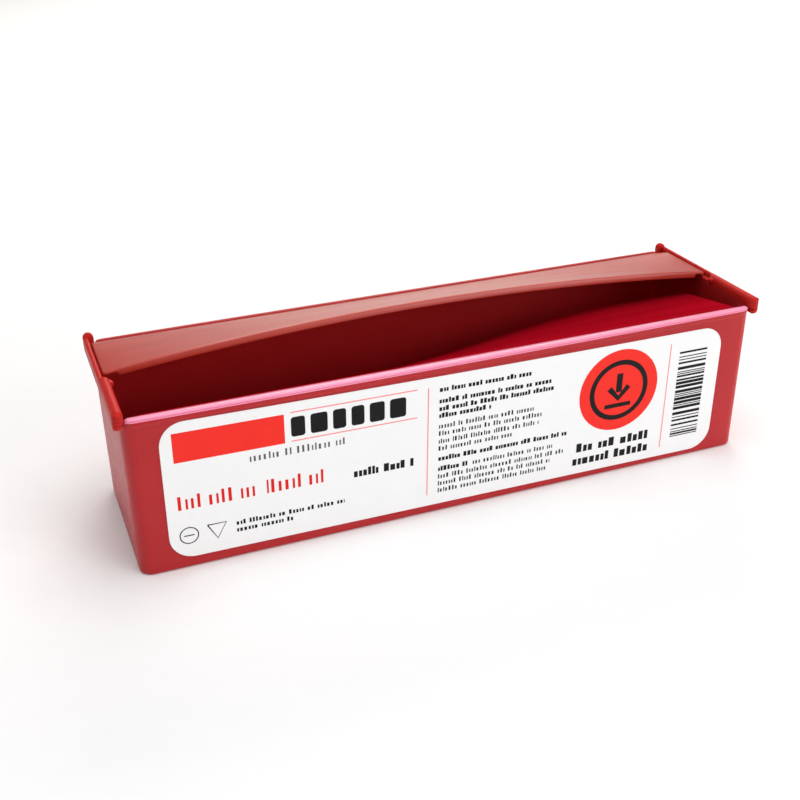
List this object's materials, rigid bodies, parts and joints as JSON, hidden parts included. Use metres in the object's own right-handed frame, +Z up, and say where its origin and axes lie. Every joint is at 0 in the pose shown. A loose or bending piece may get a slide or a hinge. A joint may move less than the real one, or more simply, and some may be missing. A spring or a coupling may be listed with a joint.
{
  "type": "sharps container",
  "caption": "Low, long benchtop tub with two overlapping hinged flaps over its mouth and lipped end rails; sharps drop in between the flaps, which then press shut.",
  "frame": {"origin": "middle of the flat base, on the surface that the container stands on", "axes": "+X along the length to the right of the labelled front, +Y from the labelled front to the back, +Z up"},
  "size_m": [0.183, 0.0506, 0.0534],
  "materials": {
    "tub": "moulded red polypropylene, satin to glossy",
    "hinge_rails": "moulded red polypropylene, glossy rounded edges",
    "flaps": "thin flexible red polypropylene sheet with faint lengthwise streaks",
    "end_rails": "moulded red polypropylene, glossy",
    "label": null
  },
  "bodies": {
    "tub_body": {"tub": "tub", "front_hinge_rail": "hinge_rails", "back_hinge_rail": "hinge_rails", "right_end_rail": "end_rails", "left_end_rail": "end_rails", "front_label": "label"},
    "front_flap_body": {"front_flap": "flaps"},
    "back_flap_body": {"back_flap": "flaps"}
  },
  "joints": [
    {"name": "front_flap_hinge", "type": "hinge", "parent": "tub_body", "child": "front_flap_body", "pos_m": [0, -0.0224, 0.0446], "axis": [1, 0, 0], "range_deg": [-48, 10], "stiffness_Nm_per_rad": 0.02},
    {"name": "back_flap_hinge", "type": "hinge", "parent": "tub_body", "child": "back_flap_body", "pos_m": [0, 0.0224, 0.0456], "axis": [-1, 0, 0], "range_deg": [0, 78]}
  ]
}
